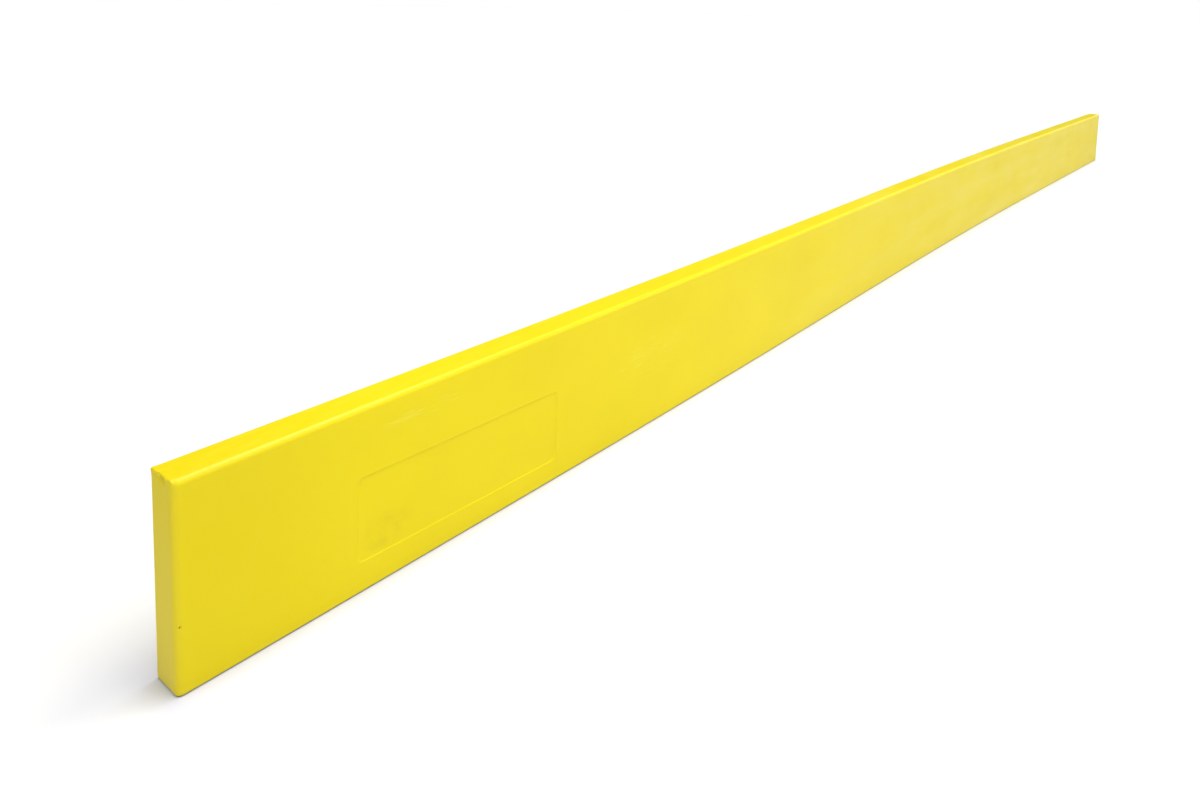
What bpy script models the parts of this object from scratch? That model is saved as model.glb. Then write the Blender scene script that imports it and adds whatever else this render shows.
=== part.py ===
"""Moulded plastic wear bar for the blade of an ATV snow plough.

The bar stands on its long wear edge. X runs along the bar, -Y is the front face that
meets the snow, +Y is the back face that is clamped to the plough's mouldboard, and Z is
up. The origin is the middle of the bar's bottom. All sizes are metres.
"""

from math import radians

import bmesh
import bpy

# Driving dimensions of the bar.
LENGTH = 1.500
HEIGHT = 0.075
THICKNESS = 0.015

# Edge radii: the front of the mould is well rounded, its open back leaves near-sharp edges.
FRONT_RADIUS = 0.0023
WEAR_RADIUS = 0.001
END_RADIUS = 0.0007
BACK_RADIUS = 0.0007
FILLET_SEGMENTS = 6

# Shallow blank name-plate recess in the front face, near the left end.
RECESS_LENGTH = 0.114
RECESS_HEIGHT = 0.034
RECESS_DEPTH = 0.0004
RECESS_FROM_END = 0.070
RECESS_FROM_WEAR_EDGE = 0.0115
RECESS_CORNER_RADIUS = 0.0025
RECESS_CORNER_SEGMENTS = 5
RECESS_DRAFT = 0.0004
RECESS_TILT = radians(-1.1)

# Moulded yellow polyurethane, as linear RGB.
YELLOW = (0.84, 0.69, 0.003, 1.0)
YELLOW_ROUGHNESS = 0.32

WEIGHT_LAYER = "bevel_weight_edge"


def clear_scene():
    for obj in list(bpy.data.objects):
        bpy.data.objects.remove(obj, do_unlink=True)


def new_collection(name):
    collection = bpy.data.collections.new(name)
    bpy.context.scene.collection.children.link(collection)
    return collection


def plastic(name, colour, roughness):
    material = bpy.data.materials.new(name)
    material.use_nodes = True
    shader = material.node_tree.nodes["Principled BSDF"]
    shader.inputs["Base Color"].default_value = colour
    shader.inputs["Roughness"].default_value = roughness
    shader.inputs["Metallic"].default_value = 0.0
    return material


def box_mesh(size):
    """A box of the given size about its own centre."""
    bm = bmesh.new()
    bmesh.ops.create_cube(bm, size=1.0)
    bmesh.ops.scale(bm, vec=size, verts=bm.verts)
    return bm


def to_object(bm, name, collection):
    mesh = bpy.data.meshes.new(name)
    bm.to_mesh(mesh)
    bm.free()
    obj = bpy.data.objects.new(name, mesh)
    collection.objects.link(obj)
    return obj


def add_weighted_bevel(obj, width, segments):
    bevel = obj.modifiers.new("fillets", "BEVEL")
    bevel.limit_method = "WEIGHT"
    bevel.offset_type = "OFFSET"
    bevel.width = width
    bevel.segments = segments
    return bevel


def edge_radius(middle):
    """The fillet radius of the box edge with this midpoint."""
    front = middle.y < -THICKNESS / 4
    back = middle.y > THICKNESS / 4
    top = middle.z > HEIGHT / 4
    end = abs(middle.x) > LENGTH / 4
    if back:
        return BACK_RADIUS
    if not front:
        return END_RADIUS
    return FRONT_RADIUS if end or top else WEAR_RADIUS


def make_recess_cutter(collection):
    """A tapered plate, half of it in the bar's front face, with rounded corners."""
    # The plate reaches as far out of the face as into it, so its walls slope at one angle.
    bm = box_mesh((RECESS_LENGTH, 2 * RECESS_DEPTH, RECESS_HEIGHT))
    for vert in bm.verts:
        inward = RECESS_DRAFT if vert.co.y > 0 else -RECESS_DRAFT
        vert.co.x -= inward if vert.co.x > 0 else -inward
        vert.co.z -= inward if vert.co.z > 0 else -inward
    weights = bm.edges.layers.float.new(WEIGHT_LAYER)
    for edge in bm.edges:
        start, end = (vert.co for vert in edge.verts)
        edge[weights] = 1.0 if start.y * end.y < 0 else 0.0
    cutter = to_object(bm, "recess_cutter", collection)
    add_weighted_bevel(cutter, RECESS_CORNER_RADIUS, RECESS_CORNER_SEGMENTS)
    cutter.location = (
        -LENGTH / 2 + RECESS_FROM_END + RECESS_LENGTH / 2,
        -THICKNESS / 2,
        RECESS_FROM_WEAR_EDGE + RECESS_HEIGHT / 2,
    )
    # Turning about +Y lowers the +X end, so the sign is changed to state the slope.
    cutter.rotation_euler = (0.0, -RECESS_TILT, 0.0)
    cutter.hide_render = True
    cutter.display_type = "WIRE"
    return cutter


def make_wear_bar(collection, cutter):
    """The bar: a plain rectangular strip with a fillet of its own radius on each edge."""
    bm = box_mesh((LENGTH, THICKNESS, HEIGHT))
    weights = bm.edges.layers.float.new(WEIGHT_LAYER)
    for edge in bm.edges:
        start, end = (vert.co for vert in edge.verts)
        edge[weights] = edge_radius((start + end) / 2) / FRONT_RADIUS
    bmesh.ops.translate(bm, vec=(0.0, 0.0, HEIGHT / 2), verts=bm.verts)
    bar = to_object(bm, "wear_bar", collection)
    add_weighted_bevel(bar, FRONT_RADIUS, FILLET_SEGMENTS)
    cut = bar.modifiers.new("name_plate_recess", "BOOLEAN")
    cut.operation = "DIFFERENCE"
    cut.solver = "EXACT"
    cut.object = cutter
    bar.data.materials.append(plastic("yellow_polyurethane", YELLOW, YELLOW_ROUGHNESS))
    bar.data.shade_smooth()
    bar.data.set_sharp_from_angle(angle=radians(30))
    return bar


def main():
    clear_scene()
    cutters = new_collection("cutters")
    parts = new_collection("plough_wear_bar")
    cutter = make_recess_cutter(cutters)
    make_wear_bar(parts, cutter)


main()
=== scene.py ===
"""Looks of the moulded yellow wear bar of an ATV snow plough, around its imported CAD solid.

The bar stands on its wear edge: X runs along it, -Y is the front face, +Y the back face,
+Z is up, and the near end in the picture is the -X end. All sizes are metres.
"""

import math

import bpy
import numpy as np
from mathutils import Matrix, Vector, noise


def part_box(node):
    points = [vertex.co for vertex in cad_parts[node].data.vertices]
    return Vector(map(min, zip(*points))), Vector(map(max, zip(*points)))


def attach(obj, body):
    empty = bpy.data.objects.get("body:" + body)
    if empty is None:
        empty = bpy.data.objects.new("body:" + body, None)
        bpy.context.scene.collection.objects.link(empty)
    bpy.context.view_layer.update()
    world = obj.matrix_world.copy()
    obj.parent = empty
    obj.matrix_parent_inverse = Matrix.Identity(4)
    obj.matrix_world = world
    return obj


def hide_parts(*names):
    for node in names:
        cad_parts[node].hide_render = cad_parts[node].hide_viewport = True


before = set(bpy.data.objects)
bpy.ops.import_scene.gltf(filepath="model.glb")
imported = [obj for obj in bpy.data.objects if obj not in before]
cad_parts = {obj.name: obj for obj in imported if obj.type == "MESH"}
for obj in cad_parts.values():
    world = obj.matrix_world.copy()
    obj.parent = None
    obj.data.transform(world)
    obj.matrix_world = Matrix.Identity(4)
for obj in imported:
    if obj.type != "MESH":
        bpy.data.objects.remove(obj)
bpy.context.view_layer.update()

MM = 0.001

# ---------------------------------------------------------------- the bar's shape

BAR_LOW, BAR_HIGH = (np.array(corner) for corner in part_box("wear_bar"))
LENGTH, THICKNESS, HEIGHT = BAR_HIGH - BAR_LOW
NEAR_END, FRONT, BOTTOM = BAR_LOW
FAR_END, BACK, TOP = BAR_HIGH
X, Y, Z = 0, 1, 2

FRONT_RADIUS = 2.3 * MM
WEAR_RADIUS = 1.0 * MM
END_RADIUS = 0.7 * MM
BACK_RADIUS = 0.7 * MM

RECESS_LENGTH = 114.0 * MM
RECESS_HEIGHT = 34.0 * MM
RECESS_DEPTH = 0.34 * MM
RECESS_WALL = 0.6 * MM
RECESS_CORNER = 2.5 * MM
RECESS_TILT = math.radians(-1.1)
RECESS_X = NEAR_END + 127.0 * MM
RECESS_Z = BOTTOM + 28.5 * MM

# How far past the recess the mesh rows keep its tilt, and over what length they lose it.
TILT_MARGIN = 4 * MM
TILT_FADE = 30 * MM

# Sideways bow of the flexible bar, away from the camera where positive: the amplitudes
# of one, two and three half-waves along its length.
BOW = (4.4 * MM, -2.0 * MM, -1.0 * MM)

# Slow waviness of the cast faces in Y and of the top in Z, in cycles per metre on each axis.
FACE_WAVES = (9, 0, 14)
FACE_WAVE_SIZE = 0.08 * MM
TOP_WAVES = (14, 40, 0)
TOP_WAVE_SIZE = 0.05 * MM

# Knife nicks left by trimming the sprue at the near end's top edge, each as its distance
# from the front face, its distance below the top, its half width and its depth. They are a
# little lower than wide, and move only the skin of the end face.
TRIM_NICKS = (
    (6.3 * MM, 1.7 * MM, 0.9 * MM, 0.7 * MM),
    (8.4 * MM, 1.3 * MM, 1.2 * MM, 0.9 * MM),
    (11.6 * MM, 1.2 * MM, 0.8 * MM, 0.6 * MM),
)
NICK_SQUASH = 0.8
NICK_SKIN = 2 * MM

# The ragged lip that the trimming left above the nicks: its size, how far it reaches from the
# edge, its share that is even along the edge and the share of it that goes up as well as out.
TRIM_LIP = 0.55 * MM
TRIM_REACH = 1.6 * MM
LIP_EVEN = 0.35
LIP_RISE = 0.5

# The lip's two noises in cycles per metre on each axis, and the second one's share.
LIP_NOISE = (150, 520, 150)
LIP_FINE_NOISE = (300, 1100, 300)
LIP_FINE_SHARE = 0.6

# The lip starts this far behind the front face, and is full this much further back.
LIP_START = 2.5 * MM
LIP_FADE = 3 * MM

# An air-bubble pit beside the near upright edge, as its distance from the near end and its
# height above the wear edge.
PIT = (1.3 * MM, 24.5 * MM)
PIT_RADIUS = 0.4 * MM
PIT_DEPTH = 0.7 * MM


# Where each seed's noise starts, as a step along each axis.
SEED_STEP = (17.3, 5.1, 9.7)


def smooth(t):
    """The smooth step from 0 to 1."""
    t = np.clip(t, 0.0, 1.0)
    return t * t * (3.0 - 2.0 * t)


def noise_at(points, scale, seed):
    """Smooth noise, about -1 to 1, at each point. scale is cycles per metre on each axis."""
    shifted = points * np.array(scale) + seed * np.array(SEED_STEP)
    return np.array([noise.noise(Vector(p)) for p in shifted])


def stations(start, *runs):
    """Positions from start: each run is (where it stops, its largest step)."""
    places = [start]
    for stop, step in runs:
        count = max(1, math.ceil((stop - places[-1]) / step - 1e-6))
        places += list(np.linspace(places[-1], stop, count + 1)[1:])
    return places


def lattice_shell(xs, ys, zs):
    """The surface of a box as one closed mesh of quads, cut at every station given."""
    counts = (len(xs), len(ys), len(zs))
    numbers = {}
    places = []
    quads = []

    def corner(i, j, k):
        if (i, j, k) not in numbers:
            numbers[(i, j, k)] = len(places)
            places.append((xs[i], ys[j], zs[k]))
        return numbers[(i, j, k)]

    for normal in (X, Y, Z):
        u, v = (Y, Z, X, Y)[normal : normal + 2]
        for side in (0, counts[normal] - 1):
            for a in range(counts[u] - 1):
                for b in range(counts[v] - 1):
                    ring = []
                    for da, db in ((0, 0), (1, 0), (1, 1), (0, 1)):
                        key = [0, 0, 0]
                        key[normal], key[u], key[v] = side, a + da, b + db
                        ring.append(corner(*key))
                    quads.append(ring if side else ring[::-1])
    return np.array(places), quads


def round_edge(points, axes, signs, radius):
    """Bends the square strip along one edge of the box into a quarter round."""
    offsets = []
    centres = []
    for axis, sign in zip(axes, signs):
        edge = BAR_HIGH[axis] if sign > 0 else BAR_LOW[axis]
        centre = edge - sign * radius
        centres.append(centre)
        offsets.append(sign * (points[:, axis] - centre) / radius)
    p, q = offsets
    inside = (p > 0) & (q > 0)
    p, q = p[inside], q[inside]
    far = np.maximum(p, q)
    quarter = np.pi / 4 * np.minimum(p, q) / far
    angle = np.where(q <= p, quarter, np.pi / 2 - quarter)
    points[inside, axes[0]] = centres[0] + signs[0] * radius * far * np.cos(angle)
    points[inside, axes[1]] = centres[1] + signs[1] * radius * far * np.sin(angle)


def recess_depth(points):
    """How deep the name-plate recess is at each point of the front face."""
    dx = points[:, X] - RECESS_X
    dz = points[:, Z] - RECESS_Z
    along = dx * math.cos(RECESS_TILT) + dz * math.sin(RECESS_TILT)
    across = dz * math.cos(RECESS_TILT) - dx * math.sin(RECESS_TILT)
    past_x = np.abs(along) - (RECESS_LENGTH / 2 - RECESS_CORNER)
    past_z = np.abs(across) - (RECESS_HEIGHT / 2 - RECESS_CORNER)
    outside = np.hypot(np.maximum(past_x, 0), np.maximum(past_z, 0))
    inside = np.minimum(np.maximum(past_x, past_z), 0)
    distance = outside + inside - RECESS_CORNER
    return RECESS_DEPTH * smooth(0.5 - distance / RECESS_WALL)


def tilt_rows(points):
    """Slopes the rows of the mesh round the recess, so that they follow its long walls."""
    reach = RECESS_LENGTH / 2 + TILT_MARGIN
    dx = points[:, X] - RECESS_X
    fade = smooth(1.0 - (np.abs(dx) - reach) / TILT_FADE)
    flat_top = TOP - FRONT_RADIUS
    flat_low = BOTTOM + WEAR_RADIUS
    above = (flat_top - points[:, Z]) / (flat_top - RECESS_Z - RECESS_HEIGHT / 2)
    below = (points[:, Z] - flat_low) / (RECESS_Z - RECESS_HEIGHT / 2 - flat_low)
    room = np.clip(np.minimum(above, below), 0.0, 1.0)
    points[:, Z] += math.tan(RECESS_TILT) * np.clip(dx, -reach, reach) * fade * room


def trim_burr(points):
    """Moves at the near end's top edge: a ragged lip that stands out, and nicks below it."""
    moves = np.zeros_like(points)
    from_end = points[:, X] - NEAR_END
    below_top = TOP - points[:, Z]
    from_front = points[:, Y] - FRONT
    near_edge = np.exp(-((np.hypot(from_end, below_top) / TRIM_REACH) ** 2))
    ragged = noise_at(points, LIP_NOISE, 1) + LIP_FINE_SHARE * noise_at(points, LIP_FINE_NOISE, 2)
    clear_of_front = smooth((from_front - LIP_START) / LIP_FADE)
    lip = TRIM_LIP * near_edge * clear_of_front * (LIP_EVEN + ragged)
    moves[:, X] -= lip
    moves[:, Z] += LIP_RISE * lip
    for place, depth_below, half_width, depth in TRIM_NICKS:
        half_height = NICK_SQUASH * half_width
        away = np.hypot((from_front - place) / half_width, (below_top - depth_below) / half_height)
        moves[:, X] += depth * np.exp(-(away**2)) * (from_end < NICK_SKIN)
    return moves


def bow(points):
    """How far the bow carries each point in Y."""
    share = (points[:, X] - NEAR_END) / LENGTH
    return sum(size * np.sin((k + 1) * np.pi * share) for k, size in enumerate(BOW))


def bar_points():
    """The bar's mesh: small quads at its edges, recess, burr and pit, and larger ones between."""
    fine = FRONT_RADIUS / 8
    wall = 0.16 * MM
    back_edge = 0.4 * MM
    across = 0.75 * MM
    under_top = 0.8 * MM
    rim = 1.0 * MM
    coarse = 2.5 * MM
    plain = 4.0 * MM
    burr_end = NEAR_END + 12 * MM
    burr_low = TOP - 8 * MM
    recess_left = RECESS_X - RECESS_LENGTH / 2
    recess_right = RECESS_X + RECESS_LENGTH / 2
    recess_low = RECESS_Z - RECESS_HEIGHT / 2
    recess_top = RECESS_Z + RECESS_HEIGHT / 2
    half_rim = rim / 2
    xs = stations(
        NEAR_END,
        (NEAR_END + FRONT_RADIUS, fine),
        (burr_end, rim),
        (recess_left - rim, coarse),
        (recess_left + rim, wall),
        (recess_left + 2 * rim, 2 * wall),
        (recess_right - 2 * rim, coarse),
        (recess_right - rim, 2 * wall),
        (recess_right + rim, wall),
        (FAR_END - 2 * FRONT_RADIUS, plain),
        (FAR_END - FRONT_RADIUS, rim),
        (FAR_END, fine),
    )
    ys = stations(
        FRONT,
        (FRONT + FRONT_RADIUS, fine),
        (BACK - END_RADIUS - BACK_RADIUS, across),
        (BACK - BACK_RADIUS, back_edge),
        (BACK, BACK_RADIUS / 3),
    )
    zs = stations(
        BOTTOM,
        (BOTTOM + WEAR_RADIUS, WEAR_RADIUS / 4),
        (recess_low - half_rim, coarse),
        (recess_low + half_rim, wall),
        (BOTTOM + PIT[1] - 2 * PIT_RADIUS, coarse),
        (BOTTOM + PIT[1] + 2 * PIT_RADIUS, 0.75 * PIT_RADIUS),
        (recess_top - half_rim, coarse),
        (recess_top + half_rim, wall),
        (burr_low, coarse),
        (TOP - FRONT_RADIUS, under_top),
        (TOP, fine),
    )
    points, quads = lattice_shell(xs, ys, zs)

    # Everything that is measured on the sharp-edged box comes before its edges are rounded.
    moves = trim_burr(points)
    on_front = points[:, Y] < FRONT + 1e-6
    tilted = points[on_front]
    tilt_rows(tilted)
    points[on_front] = tilted
    moves[on_front, Y] += recess_depth(points[on_front])
    pit_away = np.hypot(
        points[:, X] - NEAR_END - PIT[0],
        points[:, Z] - BOTTOM - PIT[1],
    )
    moves[:, Y] += PIT_DEPTH * np.exp(-((pit_away / PIT_RADIUS) ** 2)) * on_front

    round_edge(points, (Y, Z), (-1, 1), FRONT_RADIUS)
    round_edge(points, (Y, Z), (-1, -1), WEAR_RADIUS)
    round_edge(points, (Y, Z), (1, 1), BACK_RADIUS)
    round_edge(points, (Y, Z), (1, -1), BACK_RADIUS)
    for end in (-1, 1):
        round_edge(points, (X, Y), (end, -1), FRONT_RADIUS)
        round_edge(points, (X, Y), (end, 1), BACK_RADIUS)
        round_edge(points, (X, Z), (end, 1), END_RADIUS)
        round_edge(points, (X, Z), (end, -1), END_RADIUS)

    points += moves
    share_up = smooth((points[:, Z] - BOTTOM) / HEIGHT)
    points[:, Y] += FACE_WAVE_SIZE * noise_at(points, FACE_WAVES, 3)
    points[:, Z] += TOP_WAVE_SIZE * noise_at(points, TOP_WAVES, 4) * share_up
    points[:, Y] += bow(points)
    return points, quads


def make_bar():
    points, quads = bar_points()
    mesh = bpy.data.meshes.new("wear_bar_skin")
    mesh.from_pydata(points.tolist(), [], quads)
    mesh.update()
    mesh.shade_smooth()
    bar = bpy.data.objects.new("wear_bar_skin", mesh)
    bpy.context.scene.collection.objects.link(bar)
    return bar


# ---------------------------------------------------------------- materials

YELLOW = (0.84, 0.686, 0.002, 1.0)
# The deep yellow is for the resin's darker clouds and also for painted shade over the near end.
YELLOW_DEEP_AND_SHADE = (0.770, 0.619, 0.001, 1.0)
# The pale yellow is for flow marks and also for a painted sheen on the far part of the front.
YELLOW_PALE_AND_SHEEN = (0.85, 0.715, 0.07, 1.0)
SCUFFED = (0.88, 0.76, 0.06, 1.0)
# The dark colour is for specks and the smudge, and also for painted shade: the line along the wear edge
# and the pit's floor.
SOILED_AND_SHADED = (0.20, 0.18, 0.03, 1.0)

# Rubbed patches, as their middle and half size in X and Z. Both faces have them.
SCUFF_PATCHES = (
    ((NEAR_END + 104 * MM, BOTTOM + 64 * MM), (26 * MM, 4 * MM)),
    ((NEAR_END + 262 * MM, BOTTOM + 40 * MM), (34 * MM, 14 * MM)),
)

# A faint grey smudge, inside the recess on the front, given in the same way.
SMUDGE = ((NEAR_END + 84 * MM, BOTTOM + 20 * MM), (13 * MM, 9 * MM))

# How a patch fades out, from its middle at 0 to its rim at 1.
PATCH_FADE = (0.3, 1.0, 1.0, 0.0)

# Noise of each layer of the material: how many times finer it is along X, Y and Z, its scale
# in cycles per metre, its detail and, where it isn't 0.5, its roughness.
CLOUDS = ((1.0, 1.0, 1.6), 18.0, 2.0)
FLOW_MARKS = ((1.0, 4.0, 6.0), 9.0, 3.0)
STROKES = ((1.0, 9.0, 14.0), 90.0, 6.0, 0.7)
WORN_AREAS = ((1.0, 1.0, 1.5), 14.0, 3.0)
SMEARS = ((1.0, 1.0, 1.0), 160.0, 5.0, 0.6)
GLOSS = ((1.0, 1.0, 1.0), 30.0, 2.0)
PEEL = ((1.0, 1.0, 1.0), 420.0, 3.0)
UNEVEN = ((1.0, 1.0, 1.3), 50.0, 1.0)

# What each noise is turned into: the two noise values, then the two amounts they stand for.
CLOUD_AMOUNT = (0.25, 0.8, 0.0, 0.4)
FLOW_AMOUNT = (0.3, 0.8, 0.0, 1.0)
MARK_AMOUNT = (0.54, 0.64, 0.0, 1.0)
WORN_AMOUNT = (0.6, 0.85, 0.0, 0.15)
RUBBED_AMOUNT = (0.42, 0.62, 0.0, 1.0)
SMEAR_AMOUNT = (0.4, 0.7, 0.0, 0.11)
GLOSS_ROUGHNESS = (0.2, 0.8, 0.28, 0.33)

# The same for places along X: where the painted shade over the near end fades out, where the pale
# flow marks and their painted sheen gather, and where they thin out a little again.
NEAR_END_SHADE_FADE = (NEAR_END, NEAR_END + 100 * MM, 1.0, 0.0)
SHEEN_FROM = (NEAR_END + 250 * MM, NEAR_END + 900 * MM, 0.0, 1.0)
SHEEN_TO = (FAR_END - 350 * MM, FAR_END, 1.0, 0.6)

# The same for places up Z: the rubbing of the rounded top and of the wear edge, and the line
# of painted contact shade along the wear edge's foot.
TOP_RUBBED = (TOP - FRONT_RADIUS, TOP - 0.3 * FRONT_RADIUS, 0.0, 0.5)
LOW_RUBBED = (BOTTOM + 4 * MM, BOTTOM + 1 * MM, 0.0, 0.6)
CONTACT_SHADE_LINE = (BOTTOM + 0.9 * MM, BOTTOM + 0.3 * MM, 0.0, 0.95)

# How much of the rubbed edges counts as wear, and how much wear pales and dulls the skin.
EDGE_SHARE = 0.5
WEAR_PALES = 0.75
WEAR_DULLS = 0.22

# Specks: cells per metre, the fade of a dot in cell sizes, the random value above which a cell
# has one, and how dark they are.
SPECK_SCALE = 48.0
SPECK_DOT = (0.009, 0.016, 1.0, 0.0)
SPECK_ABOVE = 0.92
SPECK_DARK = 0.6

# The painted shade on the pit's floor is laid by its distance in X and Z, with only this share
# of Y, so that the shade reaches down its walls.
PIT_FLATTEN = 0.2
PIT_SHADE = (0.5 * PIT_RADIUS, 1.1 * PIT_RADIUS, 0.9, 0.0)

# Lower than polyurethane's own 1.5, for the little white that the bar reflects.
REFRACTION = 1.34

# Bumps, as their strength and depth: the orange peel, the unevenness and the rubbing marks.
PEEL_BUMP = (0.15, 0.05 * MM)
UNEVEN_BUMP = (0.2, 0.2 * MM)
MARK_BUMP = (0.6, 0.03 * MM)


class Nodes:
    """Adds and joins shader nodes of one tree."""

    def __init__(self, tree):
        self.tree = tree

    def add(self, kind, inputs=None, **settings):
        node = self.tree.nodes.new(kind)
        for name, value in settings.items():
            setattr(node, name, value)
        for name, value in (inputs or {}).items():
            if isinstance(value, bpy.types.NodeSocket):
                self.tree.links.new(value, node.inputs[name])
            else:
                node.inputs[name].default_value = value
        return node

    def pattern(self, place, finer, scale, detail=3.0, roughness=0.5):
        """Noise at a place, this many times finer along each axis."""
        mapping = self.add("ShaderNodeMapping", {"Vector": place, "Scale": finer})
        made = self.add(
            "ShaderNodeTexNoise",
            {"Vector": mapping.outputs[0], "Scale": scale, "Detail": detail, "Roughness": roughness},
        )
        return made.outputs["Fac"]

    def remap(self, value, low, high, new_low=0.0, new_high=1.0, smooth_step=False):
        made = self.add(
            "ShaderNodeMapRange",
            {"Value": value, "From Min": low, "From Max": high, "To Min": new_low, "To Max": new_high},
            interpolation_type="SMOOTHSTEP" if smooth_step else "LINEAR",
        )
        return made.outputs["Result"]

    def bump(self, height, amount, **settings):
        strength, distance = amount
        inputs = {"Height": height, "Strength": strength, "Distance": distance}
        return self.add("ShaderNodeBump", inputs, **settings)

    def mix(self, factor, first, second):
        made = self.add("ShaderNodeMix", data_type="RGBA")
        for socket, value in ((0, factor), (6, first), (7, second)):
            if isinstance(value, bpy.types.NodeSocket):
                self.tree.links.new(value, made.inputs[socket])
            else:
                made.inputs[socket].default_value = value
        return made.outputs[2]

    def math(self, operation, first, second):
        made = self.add("ShaderNodeMath", operation=operation)
        for socket, value in enumerate((first, second)):
            if isinstance(value, bpy.types.NodeSocket):
                self.tree.links.new(value, made.inputs[socket])
            else:
                made.inputs[socket].default_value = value
        return made.outputs[0]


def patch_mask(n, parts, middle, half_size):
    """One inside an oval in X and Z, fading to nought at its rim."""
    across = []
    for axis, centre, half in zip("XZ", middle, half_size):
        offset = n.math("SUBTRACT", parts.outputs[axis], centre)
        across.append(n.math("POWER", n.math("ABSOLUTE", n.math("DIVIDE", offset, half), 0.0), 2.0))
    return n.remap(n.math("ADD", *across), *PATCH_FADE, smooth_step=True)


def polyurethane():
    """Cast yellow polyurethane: cloudy colour, orange-peel skin, scuffs, specks and a smudge, with painted
    shade at the near end, the wear edge and the pit, and painted sheen on the far front.
    """
    material = bpy.data.materials.new("yellow_polyurethane")
    material.use_nodes = True
    material.node_tree.nodes.clear()
    n = Nodes(material.node_tree)
    place = n.add("ShaderNodeTexCoord").outputs["Object"]
    parts = n.add("ShaderNodeSeparateXYZ", {"Vector": place})
    height = parts.outputs["Z"]

    # Clouds of resin, with painted shade darkening the near end, and pale flow marks that gather toward
    # the middle, partly as painted sheen.
    deep_cloud_and_shade = n.remap(n.pattern(place, *CLOUDS), *CLOUD_AMOUNT, smooth_step=True)
    # Painted shade: the near end's first 100 mm are darkened toward the deep yellow.
    deep_cloud_and_shade = n.math("MAXIMUM", deep_cloud_and_shade, n.remap(parts.outputs["X"], *NEAR_END_SHADE_FADE, smooth_step=True))
    flow = n.remap(n.pattern(place, *FLOW_MARKS), *FLOW_AMOUNT, smooth_step=True)
    # Painted sheen: the pale marks are gathered along X where the front shows a whitish reflection.
    far_sheen = n.remap(parts.outputs["X"], *SHEEN_FROM, smooth_step=True)
    far_sheen = n.math("MULTIPLY", far_sheen, n.remap(parts.outputs["X"], *SHEEN_TO, smooth_step=True))
    colour = n.mix(deep_cloud_and_shade, YELLOW, YELLOW_DEEP_AND_SHADE)
    colour = n.mix(n.math("MULTIPLY", flow, far_sheen), colour, YELLOW_PALE_AND_SHEEN)

    # Fine rubbing marks: strokes along the bar, dense in the patches and sparse elsewhere.
    strokes = n.pattern(place, *STROKES)
    marks = n.remap(strokes, *MARK_AMOUNT)
    worn = n.remap(n.pattern(place, *WORN_AREAS), *WORN_AMOUNT, smooth_step=True)
    for middle, half_size in SCUFF_PATCHES:
        worn = n.math("MAXIMUM", worn, patch_mask(n, parts, middle, half_size))
    scuff = n.math("MULTIPLY", marks, worn)

    # The rounded top and the wear edge are handled most, so they are rubbed paler.
    top_edge = n.remap(height, *TOP_RUBBED, smooth_step=True)
    low_edge = n.remap(height, *LOW_RUBBED, smooth_step=True)
    edges = n.math("MAXIMUM", top_edge, low_edge)
    rubbed = n.math("MULTIPLY", n.remap(strokes, *RUBBED_AMOUNT), edges)
    wear = n.math("MAXIMUM", scuff, n.math("MULTIPLY", rubbed, EDGE_SHARE))
    colour = n.mix(n.math("MULTIPLY", wear, WEAR_PALES), colour, SCUFFED)

    # Dark specks cast into the skin, a smudge in the recess, painted shade on the bubble's floor, and a
    # line of painted contact shade along the wear edge.
    cells = n.add("ShaderNodeTexVoronoi", {"Vector": place, "Scale": SPECK_SCALE})
    chance = n.add("ShaderNodeSeparateColor", {"Color": cells.outputs["Color"]}).outputs["Red"]
    dot = n.remap(cells.outputs["Distance"], *SPECK_DOT)
    speck = n.math("MULTIPLY", dot, n.math("GREATER_THAN", chance, SPECK_ABOVE))
    # Painted contact shade: a dark line along the foot of the wear edge.
    low = n.remap(height, *CONTACT_SHADE_LINE, smooth_step=True)
    # Painted shade on the pit's floor and walls.
    flattened = n.add("ShaderNodeMapping", {"Vector": place, "Scale": (1.0, PIT_FLATTEN, 1.0)})
    pit_place = (NEAR_END + PIT[0], PIT_FLATTEN * FRONT, BOTTOM + PIT[1])
    pit_away = n.add("ShaderNodeVectorMath", {0: flattened.outputs[0], 1: pit_place}, operation="DISTANCE")
    pit = n.remap(pit_away.outputs["Value"], *PIT_SHADE, smooth_step=True)
    smear = n.remap(n.pattern(place, *SMEARS), *SMEAR_AMOUNT)
    smudge = n.math("MULTIPLY", smear, patch_mask(n, parts, *SMUDGE))
    # This dark mix holds the real specks and smudge and the painted shade of the wear edge's foot and of
    # the pit.
    soil_and_shade = n.math("MAXIMUM", n.math("MULTIPLY", speck, SPECK_DARK), smudge)
    soil_and_shade = n.math("MAXIMUM", n.math("MAXIMUM", soil_and_shade, low), pit)
    colour = n.mix(soil_and_shade, colour, SOILED_AND_SHADED)

    gloss = n.remap(n.pattern(place, *GLOSS), *GLOSS_ROUGHNESS, smooth_step=True)
    roughness = n.math("ADD", gloss, n.math("MULTIPLY", wear, WEAR_DULLS))
    shader = n.add(
        "ShaderNodeBsdfPrincipled",
        {"Base Color": colour, "Roughness": roughness, "IOR": REFRACTION},
    )
    n.add("ShaderNodeOutputMaterial", {"Surface": shader.outputs[0]})

    # Orange peel from the mould, a slow unevenness, and the rubbing marks cut into it.
    skin = n.bump(n.pattern(place, *PEEL), PEEL_BUMP)
    waves = n.bump(n.pattern(place, *UNEVEN), UNEVEN_BUMP)
    cuts = n.bump(scuff, MARK_BUMP, invert=True)
    for below, above in ((skin, waves), (waves, cuts), (cuts, shader)):
        n.tree.links.new(below.outputs[0], above.inputs["Normal"])
    return material


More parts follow.
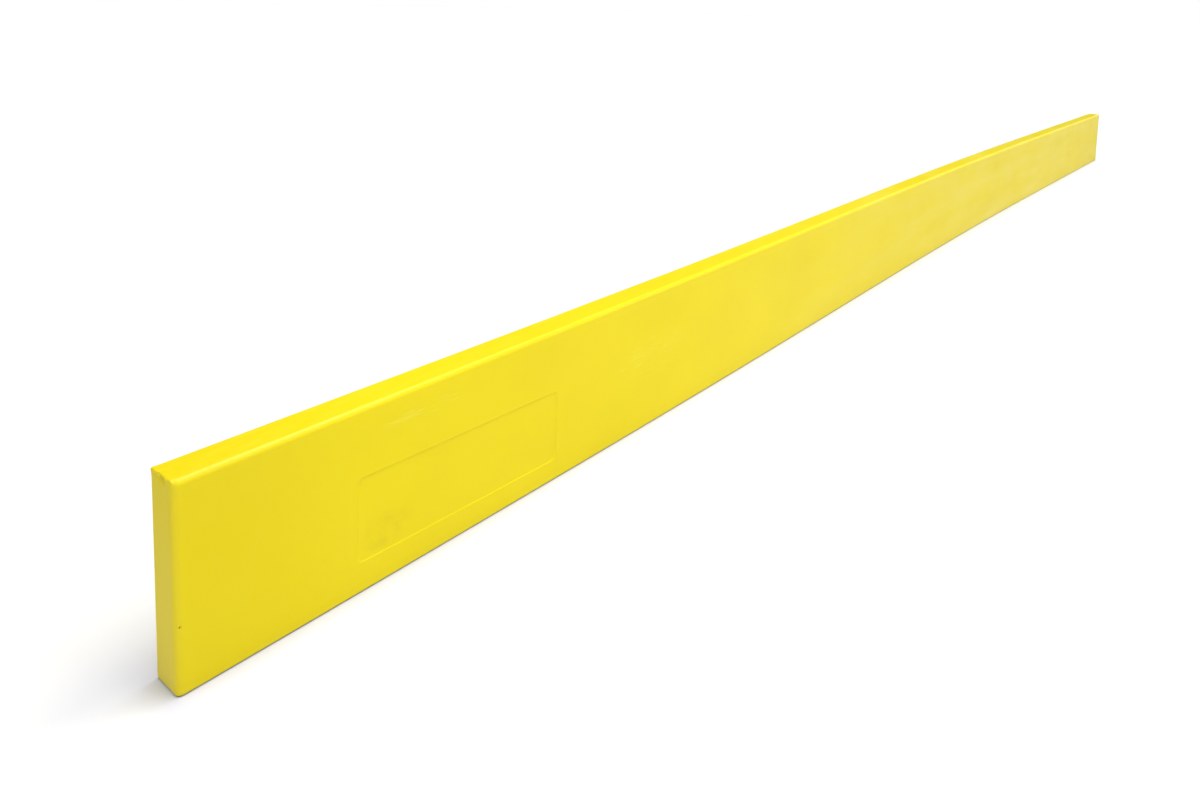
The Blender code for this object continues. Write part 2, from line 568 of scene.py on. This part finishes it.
def floor_material():
    """White paper: paler far off and past the near end, and slightly blue round the bar."""
    material = bpy.data.materials.new("white_floor")
    material.use_nodes = True
    material.node_tree.nodes.clear()
    n = Nodes(material.node_tree)
    place = n.add("ShaderNodeTexCoord").outputs["Object"]
    away = n.add("ShaderNodeVectorMath", {0: place}, operation="LENGTH").outputs["Value"]
    far = n.remap(away, *FLOOR_FADE, smooth_step=True)
    colour = n.mix(far, FLOOR_NEAR, FLOOR_FAR)
    parts = n.add("ShaderNodeSeparateXYZ", {"Vector": place})
    past_end = n.math("SUBTRACT", n.math("ABSOLUTE", parts.outputs["X"], 0.0), LENGTH / 2)
    beyond = n.add(
        "ShaderNodeCombineXYZ",
        {"X": n.math("MAXIMUM", past_end, 0.0), "Y": parts.outputs["Y"]},
    )
    from_bar = n.add("ShaderNodeVectorMath", {0: beyond.outputs[0]}, operation="LENGTH")
    foot = n.remap(from_bar.outputs["Value"], 0.0, FLOOR_FOOT_REACH, 1.0, 0.0, smooth_step=True)
    in_front = n.remap(parts.outputs["Y"], *FOOT_FRONT_FADE)
    colour = n.mix(foot, colour, n.mix(in_front, FLOOR_FOOT, FLOOR_FOOT_FRONT))
    past_near_end = n.remap(parts.outputs["X"], *PAST_END_X_FADE, smooth_step=True)
    to_front = n.remap(parts.outputs["Y"], *PAST_END_Y_FADE, smooth_step=True)
    colour = n.mix(n.math("MULTIPLY", past_near_end, to_front), colour, FLOOR_PAST_END)
    shader = n.add(
        "ShaderNodeBsdfPrincipled",
        {"Base Color": colour, "Roughness": 1.0, "Specular IOR Level": 0.0},
    )
    n.add("ShaderNodeOutputMaterial", {"Surface": shader.outputs[0]})
    return material


# ---------------------------------------------------------------- studio

# The paper round the bar and far off, and how far from the bar's middle it changes.
FLOOR_SIZE = 60.0
FLOOR_NEAR = (0.80, 0.80, 0.80, 1.0)
FLOOR_FAR = (1.0, 1.0, 1.0, 1.0)
FLOOR_FADE = (0.9, 2.2)

# The bar throws yellow light on the white paper round its foot, most of all in front. A
# little blue in the paper there keeps its shadow grey.
FLOOR_FOOT = (0.745, 0.75, 0.82, 1.0)
FLOOR_FOOT_FRONT = (0.80, 0.805, 1.0, 1.0)
FLOOR_FOOT_REACH = 50.0 * MM
FOOT_FRONT_FADE = (-THICKNESS, -THICKNESS / 2, 1.0, 0.0)

# Past the near end the paper is paler toward the front, so that the shadow there shows mostly
# behind the bar.
FLOOR_PAST_END = (0.91, 0.91, 0.93, 1.0)
PAST_END_X_FADE = (NEAR_END, NEAR_END - 15 * MM)
PAST_END_Y_FADE = (16 * MM, -8 * MM)

# The key light is a wide soft sun; its share is the light it gives a surface facing it.
SUN_DIRECTION = Vector((0.22, -0.14, 1.0))
SUN_ANGLE = math.radians(60)
SUN_SHARE = 0.95

# Each fade of the world is a range of one part of the direction, which has length 1.

# Brightness of the sky to the front, to the near end's side, behind, and low down behind.
WORLD_FRONT = 0.235
WORLD_SIDE = 0.51
WORLD_BACK = 0.125
WORLD_BACK_LOW = 0.05
FRONT_Y_FADE = (-0.05, 0.15)
SIDE_X_FADE = (-0.8, -0.1)
BACK_LOW_Z_FADE = (0.15, 0.4)

# A glow past the far end. In the picture, mostly the rounded top edge and the far part of the
# front reflect it.
WORLD_GLOW = 0.5
GLOW_X_FADE = (0.8, 0.95)
GLOW_Y_FADE = (0.12, 0.0)

# Brightness of what shiny surfaces see below the horizon: just under it and steeply down to
# the front, the same two to the back, and toward the near end's front corner, which is a
# range of X and Y added up.
WORLD_BELOW = 0.5
WORLD_BELOW_STEEP = 0.2
STEEP_Z_FADE = (-0.35, -0.55)
WORLD_BELOW_BACK = 0.28
WORLD_BELOW_BACK_STEEP = 0.58
BACK_STEEP_Z_FADE = (-0.43, -0.53)
BELOW_Y_FADE = (-0.2, 0.2)
WORLD_BELOW_NEAR = 1.3
NEAR_CORNER_FADE = (-1.1, -0.6)
HORIZON_Z_FADE = (-0.02, 0.05)

# Softboxes: place, what they point at, their size and their power in watts.
NEAR_FILL = (Vector((-0.42, -0.6, 0.35)), Vector((-0.42, 0.0, 0.04)), (0.3, 0.2), 0.6)
FAR_FILL = (Vector((0.6, -0.9, 0.4)), Vector((0.6, 0.0, 0.04)), (0.5, 0.3), 1.9)
OVERHEAD = (Vector((-0.22, -0.05, 0.95)), Vector((-0.22, 0.0, 0.04)), (0.5, 0.4), 1.4)


def make_floor():
    bpy.ops.mesh.primitive_plane_add(size=FLOOR_SIZE, location=(0, 0, BOTTOM))
    floor = bpy.context.active_object
    floor.name = "floor"
    floor.data.materials.append(floor_material())
    floor.visible_glossy = False


def make_world():
    """A sky that only lights: rays from the camera see plain white instead."""
    world = bpy.data.worlds.new("studio")
    bpy.context.scene.world = world
    world.use_nodes = True
    world.node_tree.nodes.clear()
    n = Nodes(world.node_tree)
    direction = n.add("ShaderNodeTexCoord").outputs["Generated"]
    parts = n.add("ShaderNodeSeparateXYZ", {"Vector": direction})
    x, y, z = (parts.outputs[axis] for axis in "XYZ")
    behind = n.remap(z, *BACK_LOW_Z_FADE, WORLD_BACK_LOW, WORLD_BACK, smooth_step=True)
    ahead = n.remap(y, *FRONT_Y_FADE, WORLD_FRONT, behind, smooth_step=True)
    beside = n.remap(x, *SIDE_X_FADE, WORLD_SIDE, 0.0, smooth_step=True)
    past_far_end = n.remap(x, *GLOW_X_FADE, smooth_step=True)
    not_behind = n.remap(y, *GLOW_Y_FADE, smooth_step=True)
    glow = n.math("MULTIPLY", n.math("MULTIPLY", past_far_end, not_behind), WORLD_GLOW)
    above = n.math("ADD", n.math("ADD", ahead, beside), glow)

    down = n.remap(z, *STEEP_Z_FADE, WORLD_BELOW, WORLD_BELOW_STEEP, smooth_step=True)
    down_back = n.remap(z, *BACK_STEEP_Z_FADE, WORLD_BELOW_BACK, WORLD_BELOW_BACK_STEEP, smooth_step=True)
    to_back = n.remap(y, *BELOW_Y_FADE, smooth_step=True)
    turned = n.add("ShaderNodeMix", {0: to_back, 2: down, 3: down_back})
    near_corner = n.math("ADD", x, y)
    below = n.remap(near_corner, *NEAR_CORNER_FADE, WORLD_BELOW_NEAR, turned.outputs[0], smooth_step=True)

    upper = n.remap(z, *HORIZON_Z_FADE)
    level = n.add("ShaderNodeMix", {0: upper, 2: below, 3: above})
    ray = n.add("ShaderNodeLightPath")
    seen = n.add("ShaderNodeMix", {0: ray.outputs["Is Camera Ray"], 2: level.outputs[0], 3: 1.0})
    white = (1.0, 1.0, 1.0, 1.0)
    background = n.add("ShaderNodeBackground", {"Color": white, "Strength": seen.outputs[0]})
    n.add("ShaderNodeOutputWorld", {"Surface": background.outputs[0]})


def make_sun():
    light = bpy.data.lights.new("key", "SUN")
    light.energy = SUN_SHARE * math.pi
    light.angle = SUN_ANGLE
    sun = bpy.data.objects.new("key", light)
    bpy.context.scene.collection.objects.link(sun)
    sun.rotation_euler = SUN_DIRECTION.to_track_quat("Z", "Y").to_euler()


def make_softbox(name, place, target, size, watts):
    light = bpy.data.lights.new(name, "AREA")
    light.shape = "RECTANGLE"
    light.size, light.size_y = size
    light.energy = watts
    box = bpy.data.objects.new(name, light)
    bpy.context.scene.collection.objects.link(box)
    box.location = place
    box.rotation_euler = (place - target).to_track_quat("Z", "Y").to_euler()
    box.visible_camera = False


# ---------------------------------------------------------------- camera

# Fitted to the bar's edges, except that less shift is used than fits best, so that the bar
# stays in frame when it is seen from higher up.
CAMERA_PLACE = Vector((-0.8747, -0.2807, 0.2294))
CAMERA_YAW = math.radians(50.97)
CAMERA_PITCH = math.radians(-6.05)
CAMERA_ROLL = math.radians(1.37)
LENS_MM = 26.66
SENSOR_MM = 36.0
LENS_SHIFT = -0.2492
CLIP = (0.01, 200.0)


def make_camera():
    data = bpy.data.cameras.new("camera")
    data.sensor_width = SENSOR_MM
    data.lens = LENS_MM
    data.shift_y = LENS_SHIFT
    data.clip_start, data.clip_end = CLIP
    camera = bpy.data.objects.new("camera", data)
    bpy.context.scene.collection.objects.link(camera)
    turn = (
        Matrix.Rotation(-CAMERA_YAW, 4, "Z")
        @ Matrix.Rotation(math.pi / 2 + CAMERA_PITCH, 4, "X")
        @ Matrix.Rotation(CAMERA_ROLL, 4, "Z")
    )
    camera.matrix_world = Matrix.Translation(CAMERA_PLACE) @ turn
    bpy.context.scene.camera = camera


def main():
    bar = make_bar()
    bar.data.materials.append(polyurethane())
    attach(bar, "root")
    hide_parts("wear_bar")
    make_floor()
    make_world()
    make_sun()
    make_softbox("near_fill", *NEAR_FILL)
    make_softbox("far_fill", *FAR_FILL)
    make_softbox("overhead", *OVERHEAD)
    make_camera()
    bpy.context.scene.view_settings.view_transform = "Standard"


main()
